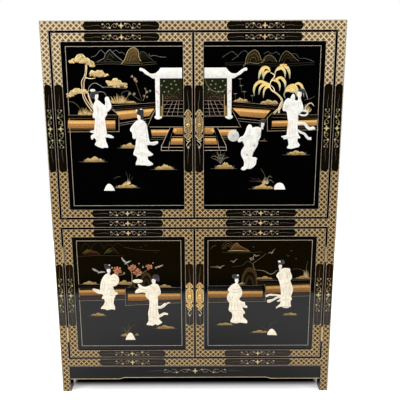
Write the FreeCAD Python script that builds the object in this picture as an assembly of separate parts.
"""Lacquered four-door display cabinet on short post legs.

A post-and-rail case with panelled sides and back carries two pairs of frame-and-panel doors.
The lower doors hang on knuckle hinges whose pins stand just proud of the face, and the upper
doors turn on concealed pivot pins between the rails.
Millimetres, +Z up, front towards -Y, origin on the floor under the middle of the whole outline.
Each sub-part is written to parts/NODE.step.
"""

import FreeCAD, Part
import math
import os

Vector = FreeCAD.Vector
SAME_PLACE = 1e-4

# Case, overall
CABINET_WIDTH = 914.0
CABINET_DEPTH = 457.0
CABINET_HEIGHT = 1219.0

# Front layout, from the floor up
LEG_HEIGHT = 94.0
RAIL_HEIGHT = 30.0
LOWER_DOOR_HEIGHT = 454.0
REVEAL = 3.0

# Posts and rails of the case
POST_WIDTH = 28.0
POST_DEPTH = 38.0
RAIL_THICKNESS = 22.0
EDGE_ROUND = 2.0
TENON_THICKNESS = 8.0
TENON_LENGTH = 15.0
TENON_SHOULDER = 8.0
MORTISE_END_GAP = 1.0

# Aprons under the bottom rails
APRON_THICKNESS = 18.0
APRON_SETBACK = 2.0
APRON_DROP = 50.0
APRON_RISE = 5.0
APRON_STEP_X = 252.0
APRON_STEP_LENGTH = 22.0
APRON_STEP_BULGE = 0.6
APRON_TENON_LENGTH = 10.0

# Panels and boards
SIDE_PANEL_THICKNESS = 9.0
BACK_PANEL_THICKNESS = 6.0
PANEL_RECESS = 3.0
PANEL_TONGUE = 6.0
PANEL_PLAY = 1.0
BOARD_THICKNESS = 15.0
CLEAT = 15.0
FIT_GAP = 0.3

# Shelves, loose on a cleat at each end
SHELF_THICKNESS = 14.0
SHELF_SIDE_PLAY = 1.5
SHELF_BACK_PLAY = 2.0
SHELF_FRONT_SETBACK = 25.0
UPPER_SHELF_RISE = 282.0
LOWER_SHELF_RISE = 222.0
SHELF_CLEAT = 12.0

# Doors
DOOR_THICKNESS = 20.0
STILE_WIDTH = 31.0
DOOR_RAIL_HEIGHT = 29.0
DOOR_PANEL_THICKNESS = 10.0
DOOR_PANEL_RECESS = 2.0
DOOR_HINGE_ROUND = 5.0

# Pivot pins above and below the hinge stiles of the upper doors
PIVOT_RADIUS = 3.0
PIVOT_INSET = 10.0
PIVOT_IN_RAIL = 10.0
PIVOT_IN_DOOR = 12.0
PIVOT_RUNNING_GAP = 0.05
PIVOT_END_GAP = 1.0

# Knuckle hinges of the lower doors
HINGE_HEIGHT = 52.0
HINGE_FROM_DOOR_END = 61.0
HINGE_LEAF_THICKNESS = 1.2
HINGE_LEAF_REACH = 20.0
HINGE_PIN_RADIUS = 1.5
HINGE_PIN_PROUD = 2.0
KNUCKLE_RADIUS = 3.0
KNUCKLE_COUNT = 3
KNUCKLE_END_GAP = 0.3
KNUCKLE_RUNNING_GAP = 0.05
KNUCKLE_NOTCH_GAP = 0.5

# Pull plates and their knobs
PLATE_LENGTH = 95.0
PLATE_WIDTH = 25.0
PLATE_THICKNESS = 1.6
PLATE_CAP_HEIGHT = 13.5
PLATE_CAP_BULGE = 2.6
PLATE_NECK_WIDTH = 10.0
PLATE_NECK_DROP = 17.0
PLATE_SHOULDER_DROP = 28.0
PLATE_BEVEL = 0.5
UPPER_PLATE_HEIGHT = 295.0
LOWER_PLATE_HEIGHT = 223.0
KNOB_LENGTH = 13.0
KNOB_RADIUS = 5.0
KNOB_WAIST_RADIUS = 2.4
KNOB_FOOT_RADIUS = 4.2
KNOB_FOOT_HEIGHT = 2.0
KNOB_HEAD_LENGTH = 7.0
KNOB_TIP_RADIUS = 3.0
KNOB_TIP_HEIGHT = 2.5
KNOB_SIDES = 24

# Magnetic catches and the strikes that they hold
CATCH_WIDTH = 56.0
CATCH_DEPTH = 14.0
CATCH_BELOW_RAIL = 16.0
STRIKE_WIDTH = 20.0
STRIKE_HEIGHT = 10.0
STRIKE_THICKNESS = 1.5
STRIKE_FROM_FREE_EDGE = 4.0

# Places worked out from the sizes above
HALF_WIDTH = CABINET_WIDTH / 2
HALF_OPENING = HALF_WIDTH - POST_WIDTH
PLATE_HALF_LENGTH = PLATE_LENGTH / 2
FRONT = (PLATE_THICKNESS + KNOB_LENGTH - CABINET_DEPTH) / 2
BACK = FRONT + CABINET_DEPTH
POST_BACK = FRONT + POST_DEPTH
REAR_POST_FRONT = BACK - POST_DEPTH
RAIL_BACK = FRONT + RAIL_THICKNESS

BOTTOM_RAIL_Z = LEG_HEIGHT
LOWER_DOOR_Z = BOTTOM_RAIL_Z + RAIL_HEIGHT + REVEAL
MIDDLE_RAIL_Z = LOWER_DOOR_Z + LOWER_DOOR_HEIGHT + REVEAL
UPPER_DOOR_Z = MIDDLE_RAIL_Z + RAIL_HEIGHT + REVEAL
TOP_RAIL_Z = CABINET_HEIGHT - RAIL_HEIGHT
UPPER_DOOR_HEIGHT = TOP_RAIL_Z - REVEAL - UPPER_DOOR_Z

SIDE_PANEL_OUTER = HALF_WIDTH - PANEL_RECESS
SIDE_PANEL_INNER = SIDE_PANEL_OUTER - SIDE_PANEL_THICKNESS
SIDE_RAIL_INNER = HALF_WIDTH - RAIL_THICKNESS
BACK_PANEL_BACK = BACK - PANEL_RECESS
BACK_PANEL_FRONT = BACK_PANEL_BACK - BACK_PANEL_THICKNESS

DOOR_OUTER = HALF_OPENING - REVEAL
DOOR_BACK = FRONT + DOOR_THICKNESS
PIN_X = HALF_OPENING - REVEAL / 2
PIN_Y = FRONT - HINGE_PIN_PROUD
PIVOT_X = DOOR_OUTER - PIVOT_INSET
PIVOT_Y = FRONT + DOOR_THICKNESS / 2


def box(x0, x1, y0, y1, z0, z1):
    """Upright block between two corners."""
    return Part.makeBox(x1 - x0, y1 - y0, z1 - z0, Vector(x0, y0, z0))


def other_side(shape):
    """Mirror image across the middle plane of the cabinet."""
    return shape.mirror(Vector(0, 0, 0), Vector(1, 0, 0))


def both_sides(shape):
    """The shape and its mirror image."""
    return [shape, other_side(shape)]


def edges_in(shape, x=None, y=None, z=None):
    """Edges that lie wholly in the given planes."""
    def lies(edge):
        span = edge.BoundBox
        spans = ((x, span.XMin, span.XMax), (y, span.YMin, span.YMax), (z, span.ZMin, span.ZMax))
        return all(v is None or max(abs(lo - v), abs(hi - v)) < SAME_PLACE for v, lo, hi in spans)
    return [edge for edge in shape.Edges if lies(edge)]


def rounded(shape, radius, *planes):
    """The shape with the edges in each set of planes rounded together."""
    edges = [edge for plane in planes for edge in edges_in(shape, **plane)]
    return shape.makeFillet(radius, edges)


def cut_by(shape, tools):
    """The shape with every tool taken out of it."""
    for tool in tools:
        shape = shape.cut(tool)
    return shape


def panel_in_groove(x, y, z, grown, play=0.0):
    """Panel between low and high corners, grown by its tongue in the named directions.

    With play it is the groove that the tongue slides into."""
    reach = PANEL_TONGUE + play
    spans = [(lo - reach, hi + reach) if axis in grown else (lo, hi)
             for axis, (lo, hi) in zip("xyz", (x, y, z))]
    return box(*spans[0], *spans[1], *spans[2])


# ---------------------------------------------------------------- case frame

def cross_tenon(y_middle, z0, z1, length):
    """Left tenon of a front or rear rail, entering the post's inner face."""
    return box(-HALF_OPENING - length, -HALF_OPENING,
               y_middle - TENON_THICKNESS / 2, y_middle + TENON_THICKNESS / 2,
               z0 + TENON_SHOULDER, z1 - TENON_SHOULDER)


def side_tenon(end_y, way, z0, z1, length):
    """Tenon of a left side rail, entering a post from end_y towards way."""
    x_middle = -HALF_WIDTH + RAIL_THICKNESS / 2
    y0, y1 = sorted((end_y, end_y + way * length))
    return box(x_middle - TENON_THICKNESS / 2, x_middle + TENON_THICKNESS / 2, y0, y1,
               z0 + TENON_SHOULDER, z1 - TENON_SHOULDER)


def front_tenons(length):
    """Left tenons of the front rails and of the apron between them and the legs."""
    y = FRONT + RAIL_THICKNESS / 2
    rails = [cross_tenon(y, z, z + RAIL_HEIGHT, TENON_LENGTH + length)
             for z in (BOTTOM_RAIL_Z, MIDDLE_RAIL_Z, TOP_RAIL_Z)]
    apron_y = FRONT + APRON_SETBACK + APRON_THICKNESS / 2
    apron = cross_tenon(apron_y, LEG_HEIGHT - APRON_DROP, LEG_HEIGHT, APRON_TENON_LENGTH + length)
    return rails + [apron]


def rear_tenons(length):
    """Left tenons of the rear rails."""
    y = BACK - RAIL_THICKNESS / 2
    return [cross_tenon(y, z, z + RAIL_HEIGHT, TENON_LENGTH + length)
            for z in (BOTTOM_RAIL_Z, TOP_RAIL_Z)]


def side_tenons(end_y, way, length):
    """Tenons of the left side rails and side apron at one end."""
    rails = [side_tenon(end_y, way, z, z + RAIL_HEIGHT, TENON_LENGTH + length)
             for z in (BOTTOM_RAIL_Z, TOP_RAIL_Z)]
    apron = side_tenon(end_y, way, LEG_HEIGHT - APRON_DROP, LEG_HEIGHT, APRON_TENON_LENGTH + length)
    return rails + [apron]


def cross_rail(z0, y_face, y_inner):
    """Front or rear rail with a tenon at each end; y_face is its outer face."""
    y0, y1 = sorted((y_face, y_inner))
    rail = box(-HALF_OPENING, HALF_OPENING, y0, y1, z0, z0 + RAIL_HEIGHT)
    if z0 == TOP_RAIL_Z:
        rail = rounded(rail, EDGE_ROUND, {"y": y_face, "z": CABINET_HEIGHT})
    tenon = cross_tenon((y0 + y1) / 2, z0, z0 + RAIL_HEIGHT, TENON_LENGTH)
    return rail.fuse(both_sides(tenon)).removeSplitter()


def front_rails():
    """Top, middle and bottom rails of the front; the pivot pins are let into the first two."""
    pivots = [pivot for left in left_pivots() for pivot in both_sides(left)]
    return {"top_rail": cut_by(cross_rail(TOP_RAIL_Z, FRONT, RAIL_BACK), pivots),
            "middle_rail": cut_by(cross_rail(MIDDLE_RAIL_Z, FRONT, RAIL_BACK), pivots),
            "bottom_rail": cross_rail(BOTTOM_RAIL_Z, FRONT, RAIL_BACK)}


def rear_rails():
    """Top and bottom rails of the back, grooved for the back panel."""
    groove = back_panel(PANEL_PLAY)
    return Part.makeCompound([cross_rail(z, BACK, BACK - RAIL_THICKNESS).cut(groove)
                              for z in (BOTTOM_RAIL_Z, TOP_RAIL_Z)])


def left_side_rails():
    """Top and bottom rails of the left side, grooved for the side panel."""
    rails = []
    for z0 in (BOTTOM_RAIL_Z, TOP_RAIL_Z):
        rail = box(-HALF_WIDTH, -SIDE_RAIL_INNER, POST_BACK, REAR_POST_FRONT, z0, z0 + RAIL_HEIGHT)
        if z0 == TOP_RAIL_Z:
            rail = rounded(rail, EDGE_ROUND, {"x": -HALF_WIDTH, "z": CABINET_HEIGHT})
        tenons = [side_tenon(POST_BACK, -1, z0, z0 + RAIL_HEIGHT, TENON_LENGTH),
                  side_tenon(REAR_POST_FRONT, 1, z0, z0 + RAIL_HEIGHT, TENON_LENGTH)]
        rails.append(rail.fuse(tenons).removeSplitter().cut(left_side_panel(PANEL_PLAY)))
    return rails


def left_side_panel(play=0.0):
    """Left side panel between the side rails and posts; with play, the groove for it."""
    return panel_in_groove((-SIDE_PANEL_OUTER, -SIDE_PANEL_INNER), (POST_BACK, REAR_POST_FRONT),
                           (BOTTOM_RAIL_Z + RAIL_HEIGHT, TOP_RAIL_Z), "yz", play)


def back_panel(play=0.0):
    """Back panel between the rear rails and posts; with play, the groove for it."""
    return panel_in_groove((-HALF_OPENING, HALF_OPENING), (BACK_PANEL_FRONT, BACK_PANEL_BACK),
                           (BOTTOM_RAIL_Z + RAIL_HEIGHT, TOP_RAIL_Z), "xz", play)


def left_post(y0, y1, y_face):
    """Square post running from floor to top, its outer corner and top edges rounded."""
    post = box(-HALF_WIDTH, -HALF_OPENING, y0, y1, 0, CABINET_HEIGHT)
    return rounded(post, EDGE_ROUND, {"x": -HALF_WIDTH, "y": y_face},
                   {"x": -HALF_WIDTH, "z": CABINET_HEIGHT}, {"y": y_face, "z": CABINET_HEIGHT})


def front_left_post():
    """Front post: mortised for rails and apron, grooved for the side, let in for the hinges."""
    post = left_post(FRONT, POST_BACK, FRONT)
    cuts = front_tenons(MORTISE_END_GAP) + side_tenons(POST_BACK, -1, MORTISE_END_GAP)
    cuts.append(left_side_panel(PANEL_PLAY))
    for z in hinge_heights():
        cuts.append(hinge_leaf_blank(z, fixed=True))
        cuts.append(hinge_cylinder(z, z + HINGE_HEIGHT, KNUCKLE_RADIUS + KNUCKLE_NOTCH_GAP))
    return cut_by(post, cuts)


def rear_left_post():
    """Rear post: mortised for rails, grooved for the side and the back."""
    post = left_post(REAR_POST_FRONT, BACK, BACK)
    cuts = rear_tenons(MORTISE_END_GAP) + side_tenons(REAR_POST_FRONT, 1, MORTISE_END_GAP)
    cuts += [left_side_panel(PANEL_PLAY), back_panel(PANEL_PLAY)]
    return cut_by(post, cuts)


# ---------------------------------------------------------------- aprons

def apron_edge(half, step_x, low, high):
    """Lower outline of an apron from left to right: low at the ends, an ogee step up to high."""
    edges = []
    points = [Vector(-half, 0, low), Vector(-step_x - APRON_STEP_LENGTH / 2, 0, low)]
    edges.append(Part.LineSegment(*points).toShape())
    for way in (-1, 1):
        ends = (step_x + APRON_STEP_LENGTH / 2, low), (step_x - APRON_STEP_LENGTH / 2, high)
        middle = Vector(way * step_x, 0, (low + high) / 2)
        outer, inner = (Vector(way * x, 0, z) for x, z in ends)
        bulge = Vector(0, 0, APRON_STEP_BULGE)
        edges.append(Part.Arc(outer, (outer + middle) / 2 - bulge, middle).toShape())
        edges.append(Part.Arc(middle, (middle + inner) / 2 + bulge, inner).toShape())
    flat = Vector(step_x - APRON_STEP_LENGTH / 2, 0, high)
    edges.append(Part.LineSegment(Vector(-flat.x, 0, high), flat).toShape())
    points = [Vector(step_x + APRON_STEP_LENGTH / 2, 0, low), Vector(half, 0, low)]
    edges.append(Part.LineSegment(*points).toShape())
    return edges


def apron_board(half, step_x):
    """Upright board with the stepped lower edge, its face at y = 0 and its back towards +y."""
    low = LEG_HEIGHT - APRON_DROP
    edges = apron_edge(half, step_x, low, low + APRON_RISE)
    corners = [Vector(half, 0, low), Vector(half, 0, LEG_HEIGHT),
               Vector(-half, 0, LEG_HEIGHT), Vector(-half, 0, low)]
    edges += [Part.LineSegment(a, b).toShape() for a, b in zip(corners, corners[1:])]
    wire = Part.Wire(Part.__sortEdges__(edges))
    return Part.Face(wire).extrude(Vector(0, APRON_THICKNESS, 0))


def front_apron():
    """Front apron under the bottom rail, tenoned into the legs."""
    board = apron_board(HALF_OPENING, APRON_STEP_X).translated(Vector(0, FRONT + APRON_SETBACK, 0))
    y = FRONT + APRON_SETBACK + APRON_THICKNESS / 2
    tenon = cross_tenon(y, LEG_HEIGHT - APRON_DROP, LEG_HEIGHT, APRON_TENON_LENGTH)
    return board.fuse(both_sides(tenon)).removeSplitter()


def left_side_apron():
    """Side apron, the same board across the depth."""
    span = REAR_POST_FRONT - POST_BACK
    step_x = span / 2 - (HALF_OPENING - APRON_STEP_X) / 2
    apron = apron_board(span / 2, step_x)
    apron.rotate(Vector(0, 0, 0), Vector(0, 0, 1), -90)
    apron.translate(Vector(-HALF_WIDTH + APRON_SETBACK, (POST_BACK + REAR_POST_FRONT) / 2, 0))
    z0, z1 = LEG_HEIGHT - APRON_DROP, LEG_HEIGHT
    tenons = [side_tenon(POST_BACK, -1, z0, z1, APRON_TENON_LENGTH),
              side_tenon(REAR_POST_FRONT, 1, z0, z1, APRON_TENON_LENGTH)]
    return apron.fuse(tenons).removeSplitter()


# ---------------------------------------------------------------- boards and shelves

def post_notches():
    """Space that the four posts take out of the corners of a board."""
    front = box(-HALF_WIDTH, -HALF_OPENING + FIT_GAP, FRONT, POST_BACK + FIT_GAP, 0, CABINET_HEIGHT)
    rear = box(-HALF_WIDTH, -HALF_OPENING + FIT_GAP, REAR_POST_FRONT - FIT_GAP, BACK,
               0, CABINET_HEIGHT)
    return both_sides(front) + both_sides(rear)


def board(half, y1, z_top):
    """Fixed board behind the front rail, notched round the posts."""
    blank = box(-half, half, RAIL_BACK, y1, z_top - BOARD_THICKNESS, z_top)
    return cut_by(blank, post_notches())


def boards():
    """Top, middle and bottom boards, each flush with the top of its rail."""
    return {"top_panel": board(SIDE_RAIL_INNER, BACK - RAIL_THICKNESS, CABINET_HEIGHT),
            "middle_board": board(SIDE_PANEL_INNER, BACK_PANEL_FRONT, MIDDLE_RAIL_Z + RAIL_HEIGHT),
            "bottom_board": board(SIDE_RAIL_INNER, BACK - RAIL_THICKNESS,
                                  BOTTOM_RAIL_Z + RAIL_HEIGHT)}


def board_cleats():
    """Square cleats fixed to the sides under the ends of the three boards."""
    cleats = []
    for outer, rail_z in ((SIDE_RAIL_INNER, TOP_RAIL_Z), (SIDE_PANEL_INNER, MIDDLE_RAIL_Z),
                          (SIDE_RAIL_INNER, BOTTOM_RAIL_Z)):
        top = rail_z + RAIL_HEIGHT - BOARD_THICKNESS
        cleat = box(-outer, -outer + CLEAT, POST_BACK, REAR_POST_FRONT, top - CLEAT, top)
        cleats += both_sides(cleat)
    return Part.makeCompound(cleats)


def shelf(z):
    """Loose shelf whose underside is at z, notched round the rear posts."""
    half = SIDE_PANEL_INNER - SHELF_SIDE_PLAY
    blank = box(-half, half, DOOR_BACK + SHELF_FRONT_SETBACK, BACK_PANEL_FRONT - SHELF_BACK_PLAY,
                z, z + SHELF_THICKNESS)
    notch = box(-HALF_WIDTH, -HALF_OPENING + SHELF_SIDE_PLAY,
                REAR_POST_FRONT - SHELF_BACK_PLAY, BACK, z, z + SHELF_THICKNESS)
    return cut_by(blank, both_sides(notch))


def shelf_heights():
    """Undersides of the lower and the upper shelf."""
    return (BOTTOM_RAIL_Z + RAIL_HEIGHT + LOWER_SHELF_RISE,
            MIDDLE_RAIL_Z + RAIL_HEIGHT + UPPER_SHELF_RISE)


def shelf_cleats():
    """Bars fixed to the sides under the ends of the shelves."""
    cleats = []
    for z in shelf_heights():
        cleat = box(-SIDE_PANEL_INNER, -SIDE_PANEL_INNER + SHELF_CLEAT,
                    POST_BACK, REAR_POST_FRONT, z - SHELF_CLEAT, z)
        cleats += both_sides(cleat)
    return Part.makeCompound(cleats)


def magnetic_catches():
    """Double catches behind the top and middle rails, one for each pair of doors."""
    bodies = []
    for rail_z in (TOP_RAIL_Z, MIDDLE_RAIL_Z):
        under_board = rail_z + RAIL_HEIGHT - BOARD_THICKNESS
        body = box(-CATCH_WIDTH / 2, CATCH_WIDTH / 2, RAIL_BACK, RAIL_BACK + CATCH_DEPTH,
                   rail_z - CATCH_BELOW_RAIL, under_board)
        bodies.append(rounded(body, EDGE_ROUND, {"y": RAIL_BACK + CATCH_DEPTH,
                                                 "z": rail_z - CATCH_BELOW_RAIL}))
    return Part.makeCompound(bodies)


# ---------------------------------------------------------------- pivots and hinges, left-hand

def pivot(z0, z1, gap):
    """Cylinder on the left pivot axis, wider than the pin by gap."""
    return Part.makeCylinder(PIVOT_RADIUS + gap, z1 - z0, Vector(-PIVOT_X, PIVOT_Y, z0))


def left_pivots(gap=0.0, end_gap=0.0):
    """Pins at the foot and the head of the upper left door; with gaps, the bores they turn in."""
    z0, z1 = UPPER_DOOR_Z, UPPER_DOOR_Z + UPPER_DOOR_HEIGHT
    reach = PIVOT_IN_DOOR + end_gap
    return [pivot(z0 - REVEAL - PIVOT_IN_RAIL, z0 + reach, gap),
            pivot(z1 - reach, z1 + REVEAL + PIVOT_IN_RAIL, gap)]


def hinge_heights():
    """Lower ends of the two hinges of a lower door."""
    top = LOWER_DOOR_Z + LOWER_DOOR_HEIGHT
    return [LOWER_DOOR_Z + HINGE_FROM_DOOR_END, top - HINGE_FROM_DOOR_END - HINGE_HEIGHT]


def hinge_cylinder(z0, z1, radius):
    """Cylinder on the left hinge axis."""
    return Part.makeCylinder(radius, z1 - z0, Vector(-PIN_X, PIN_Y, z0))


def hinge_leaf_blank(z, fixed):
    """Flat leaf let into the post (fixed) or into the door edge."""
    face = -HALF_OPENING if fixed else -DOOR_OUTER
    x0, x1 = sorted((face, face + (-1 if fixed else 1) * HINGE_LEAF_THICKNESS))
    return box(x0, x1, PIN_Y, PIN_Y + HINGE_LEAF_REACH, z, z + HINGE_HEIGHT)


def knuckle_spans(z):
    """Heights of the knuckles of a hinge that starts at z, from the bottom up."""
    pitch = HINGE_HEIGHT / KNUCKLE_COUNT
    half_gap = KNUCKLE_END_GAP / 2
    return [(z + i * pitch + half_gap, z + (i + 1) * pitch - half_gap)
            for i in range(KNUCKLE_COUNT)]


def hinge_leaf(z, fixed):
    """Leaf with its knuckles; the fixed one holds the odd knuckles and grips the pin."""
    leaf = hinge_leaf_blank(z, fixed)
    bore = HINGE_PIN_RADIUS + (0 if fixed else KNUCKLE_RUNNING_GAP)
    relief = KNUCKLE_RADIUS + KNUCKLE_NOTCH_GAP
    for i, (z0, z1) in enumerate(knuckle_spans(z)):
        if (i % 2 == 0) == fixed:
            leaf = leaf.fuse(hinge_cylinder(z0, z1, KNUCKLE_RADIUS))
        else:
            leaf = leaf.cut(hinge_cylinder(z0 - KNUCKLE_END_GAP, z1 + KNUCKLE_END_GAP, relief))
    return leaf.cut(hinge_cylinder(z, z + HINGE_HEIGHT, bore)).removeSplitter()


def hinge_pin(z):
    """Pin through all the knuckles of the hinge."""
    return hinge_cylinder(z, z + HINGE_HEIGHT, HINGE_PIN_RADIUS)


# ---------------------------------------------------------------- doors, left-hand

def stile(x0, x1, z0, z1, edge_x, radius):
    """Door stile with its outer front edge rounded by radius."""
    blank = box(x0, x1, FRONT, DOOR_BACK, z0, z1)
    return rounded(blank, radius, {"x": edge_x, "y": FRONT})


def door_rail(z0, x0, x1):
    """Door rail between the stiles, tenoned at both ends."""
    y = FRONT + DOOR_THICKNESS / 2
    rail = box(x0, x1, FRONT, DOOR_BACK, z0, z0 + DOOR_RAIL_HEIGHT)
    tenon = box(x0 - TENON_LENGTH, x1 + TENON_LENGTH, y - TENON_THICKNESS / 2,
                y + TENON_THICKNESS / 2, z0 + TENON_SHOULDER, z0 + DOOR_RAIL_HEIGHT - TENON_SHOULDER)
    return rail.fuse(tenon).removeSplitter()


def left_door(z0, height, hardware_cuts):
    """Sub-parts of a left-hand door, closed, from z0 up, its hinge stile cut for the hardware."""
    z1 = z0 + height
    x_hinge, x_free = -DOOR_OUTER, -REVEAL / 2
    inner = (x_hinge + STILE_WIDTH, x_free - STILE_WIDTH)
    panel_y = (FRONT + DOOR_PANEL_RECESS, FRONT + DOOR_PANEL_RECESS + DOOR_PANEL_THICKNESS)
    panel_z = (z0 + DOOR_RAIL_HEIGHT, z1 - DOOR_RAIL_HEIGHT)
    groove = panel_in_groove(inner, panel_y, panel_z, "xz", PANEL_PLAY)
    rails = [door_rail(z, *inner) for z in (z0, z1 - DOOR_RAIL_HEIGHT)]
    hinge_stile = stile(x_hinge, inner[0], z0, z1, x_hinge, DOOR_HINGE_ROUND)
    lock_stile = stile(inner[1], x_free, z0, z1, x_free, EDGE_ROUND)
    return {"hinge_stile": cut_by(hinge_stile, [groove] + rails + hardware_cuts),
            "lock_stile": cut_by(lock_stile, [groove] + rails),
            "rails": Part.makeCompound([rail.cut(groove) for rail in rails]),
            "panel": panel_in_groove(inner, panel_y, panel_z, "xz"),
            "strike": strike(x_free, z1)}


def upper_left_door():
    """Upper door, bored for its pivot pins."""
    bores = left_pivots(PIVOT_RUNNING_GAP, PIVOT_END_GAP)
    return left_door(UPPER_DOOR_Z, UPPER_DOOR_HEIGHT, bores)


def lower_left_door():
    """Lower door with the moving leaves of its hinges let into its edge."""
    blanks = [hinge_leaf_blank(z, fixed=False) for z in hinge_heights()]
    parts = left_door(LOWER_DOOR_Z, LOWER_DOOR_HEIGHT, blanks)
    parts["hinge_leaves"] = Part.makeCompound([hinge_leaf(z, fixed=False) for z in hinge_heights()])
    return parts


def strike(x_free, z_top):
    """Steel plate on the back of the door that the catch holds."""
    margin = (CATCH_BELOW_RAIL - REVEAL - STRIKE_HEIGHT) / 2
    x1 = x_free - STRIKE_FROM_FREE_EDGE
    z1 = z_top - margin
    return box(x1 - STRIKE_WIDTH, x1, DOOR_BACK, DOOR_BACK + STRIKE_THICKNESS,
               z1 - STRIKE_HEIGHT, z1)


# ---------------------------------------------------------------- pulls, left-hand

def plate_quarter():
    """Upper left quarter of the pull plate's outline as edges, from its tip to half height."""
    half = PLATE_WIDTH / 2
    tip = Vector(0, 0, PLATE_HALF_LENGTH)
    barb = Vector(-half, 0, PLATE_HALF_LENGTH - PLATE_CAP_HEIGHT)
    outward = (barb - tip).cross(Vector(0, -1, 0)).normalize()
    crown = (tip + barb) / 2 + outward * PLATE_CAP_BULGE
    neck = Vector(-PLATE_NECK_WIDTH / 2, 0, PLATE_HALF_LENGTH - PLATE_NECK_DROP)
    shoulder = Vector(-half, 0, PLATE_HALF_LENGTH - PLATE_SHOULDER_DROP)
    corners = [barb, neck, shoulder, Vector(-half, 0, 0)]
    straights = [Part.LineSegment(a, b).toShape() for a, b in zip(corners, corners[1:])]
    return [Part.Arc(tip, crown, barb).toShape()] + straights


def pull_plate(x, z):
    """Brass plate with arrow-shaped ends, flat on the stile, its centre at x and z."""
    edges = []
    for edge in plate_quarter():
        across = edge.mirror(Vector(0, 0, 0), Vector(0, 0, 1))
        edges += both_sides(edge) + both_sides(across)
    face = Part.Face(Part.Wire(Part.__sortEdges__(edges)))
    square_part = PLATE_THICKNESS - PLATE_BEVEL
    plate = face.extrude(Vector(0, -square_part, 0))
    crest = face.makeOffset2D(-PLATE_BEVEL, 2)
    bevel = Part.makeLoft([face.Wires[0].translated(Vector(0, -square_part, 0)),
                           crest.Wires[0].translated(Vector(0, -PLATE_THICKNESS, 0))], True, True)
    return plate.fuse(bevel).removeSplitter().translated(Vector(x, FRONT, z))


def knob_corners(out, radius):
    """Corners of the knob's section at the distance out from its plate, first one repeated."""
    turns = [2 * math.pi * i / KNOB_SIDES for i in range(KNOB_SIDES)]
    corners = [Vector(radius * math.cos(turn), -out, radius * math.sin(turn)) for turn in turns]
    return corners + corners[:1]


def knob(x, z):
    """Faceted brass knob on the middle of the plate: flared foot, waist and a head coned both ways."""
    sections = [knob_corners(0, KNOB_FOOT_RADIUS),
                knob_corners(KNOB_FOOT_HEIGHT, KNOB_WAIST_RADIUS),
                knob_corners(KNOB_LENGTH - KNOB_HEAD_LENGTH, KNOB_WAIST_RADIUS),
                knob_corners(KNOB_LENGTH - KNOB_TIP_HEIGHT, KNOB_RADIUS),
                knob_corners(KNOB_LENGTH, KNOB_TIP_RADIUS)]
    outlines = [sections[0], sections[-1]]
    for low, high in zip(sections, sections[1:]):
        outlines += [[low[i], low[i + 1], high[i + 1], high[i], low[i]] for i in range(KNOB_SIDES)]
    faces = [Part.Face(Part.makePolygon(outline)) for outline in outlines]
    return Part.Solid(Part.Shell(faces)).translated(Vector(x, FRONT - PLATE_THICKNESS, z))


# ---------------------------------------------------------------- assembly

def case_parts():
    """Every fixed sub-part of the case by node name."""
    lower_z, upper_z = shelf_heights()
    nodes = {"front_left_post": front_left_post(), "rear_left_post": rear_left_post(),
             "left_side_panel": left_side_panel()}
    nodes.update({name.replace("left", "right"): other_side(shape)
                  for name, shape in list(nodes.items())})
    nodes.update(front_rails())
    nodes.update(boards())
    nodes.update({
        "front_apron": front_apron(),
        "side_aprons": group([left_side_apron()]),
        "side_rails": group(left_side_rails()),
        "rear_rails": rear_rails(),
        "back_panel": back_panel(),
        "board_cleats": board_cleats(),
        "lower_shelf": shelf(lower_z),
        "upper_shelf": shelf(upper_z),
        "shelf_cleats": shelf_cleats(),
        "magnetic_catches": magnetic_catches(),
        "post_hinge_leaves": group([hinge_leaf(z, fixed=True) for z in hinge_heights()]),
        "hinge_pins": group([hinge_pin(z) for z in hinge_heights()]),
        "upper_door_pivots": group(left_pivots())})
    return nodes


def group(left_shapes):
    """Node of the left-hand solids and their mirror images."""
    return Part.makeCompound([s for left in left_shapes for s in both_sides(left)])


def door_parts():
    """Every sub-part of the four doors by node name."""
    nodes = {}
    plate_x = -REVEAL / 2 - STILE_WIDTH / 2
    for level, parts, plate_z in (
            ("upper", upper_left_door(), UPPER_DOOR_Z + UPPER_PLATE_HEIGHT),
            ("lower", lower_left_door(), LOWER_DOOR_Z + LOWER_PLATE_HEIGHT)):
        parts["pull_plate"] = pull_plate(plate_x, plate_z)
        parts["knob"] = knob(plate_x, plate_z)
        for name, shape in parts.items():
            nodes[f"{level}_left_door_{name}"] = shape
            nodes[f"{level}_right_door_{name}"] = other_side(shape)
    return nodes


def main():
    """Write every node as a STEP file."""
    os.makedirs("parts", exist_ok=True)
    for name, shape in {**case_parts(), **door_parts()}.items():
        shape.exportStep(f"parts/{name}.step")


main()
